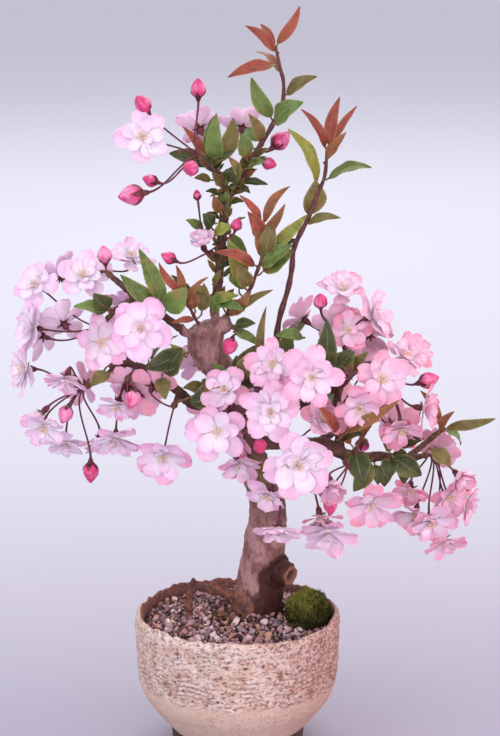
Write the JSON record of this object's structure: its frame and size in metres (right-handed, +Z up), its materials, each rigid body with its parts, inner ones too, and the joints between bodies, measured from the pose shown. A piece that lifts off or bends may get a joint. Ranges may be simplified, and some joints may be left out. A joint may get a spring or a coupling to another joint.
{
  "type": "flowering cherry bonsai",
  "caption": "Potted bonsai with a crooked trunk, pink semi-double blossom on long stalks, green and bronze leaves, grit and moss in a round rough cream pot; stands on its flat foot.",
  "frame": {"origin": "middle of the flat underside of the pot's foot", "axes": "+Z up, -Y towards the front that the picture shows, +X to the right"},
  "size_m": [0.2619, 0.1261, 0.403],
  "materials": {
    "clay_cream": "rough cream stoneware with rust specks and a dark foot",
    "mesh_plastic": "black drainage mesh",
    "grit": "mixed grey, mauve and tan grit",
    "moss": "dark olive moss",
    "bark": "grey mauve bark with smooth pale patches",
    "blossom": "soft pink petals, paler towards the middle",
    "leaf_green": "satin green leaf",
    "leaf_bronze": "satin young bronze leaf"
  },
  "bodies": {
    "root": {"pot": "clay_cream", "drainage_mesh_left": "mesh_plastic", "drainage_mesh_right": "mesh_plastic", "soil": "grit", "moss": "moss", "trunk_and_branches": "bark", "blossom_spray_back": "blossom", "blossom_spray_callus": "blossom", "blossom_spray_leader_front": "blossom", "blossom_spray_leader_left": "blossom", "blossom_spray_left_back": "blossom", "blossom_spray_left_front": "blossom", "blossom_spray_left_low": "blossom", "blossom_spray_left_low_mid": "blossom", "blossom_spray_left_low_root": "blossom", "blossom_spray_left_side": "blossom", "blossom_spray_left_top": "blossom", "blossom_spray_right_back": "blossom", "blossom_spray_right_low": "blossom", "blossom_spray_right_low_mid": "blossom", "blossom_spray_right_low_root": "blossom", "blossom_spray_right_up": "blossom", "blossom_spray_right_up_root": "blossom", "blossom_spray_right_up_top": "blossom", "blossom_spray_top_back": "blossom", "blossom_spray_trunk_front": "blossom", "leaves_back": "leaf_green", "leaves_centre": "leaf_green", "leaves_crown": "leaf_green", "leaves_leader": "leaf_green", "leaves_left_back": "leaf_green", "leaves_left_low": "leaf_green", "leaves_left_root": "leaf_green", "leaves_left_side": "leaf_green", "leaves_left_tip": "leaf_green", "leaves_left_top": "leaf_green", "leaves_right_back": "leaf_green", "leaves_right_mid": "leaf_bronze", "leaves_right_outer": "leaf_green", "leaves_right_tip": "leaf_bronze", "leaves_right_up": "leaf_green", "leaves_top": "leaf_green", "leaves_upright": "leaf_green", "shoot_leader_right": "leaf_bronze", "shoot_left_shoot": "leaf_bronze", "shoot_mid_shoot": "leaf_bronze", "shoot_right_upright": "leaf_bronze"}
  },
  "joints": []
}
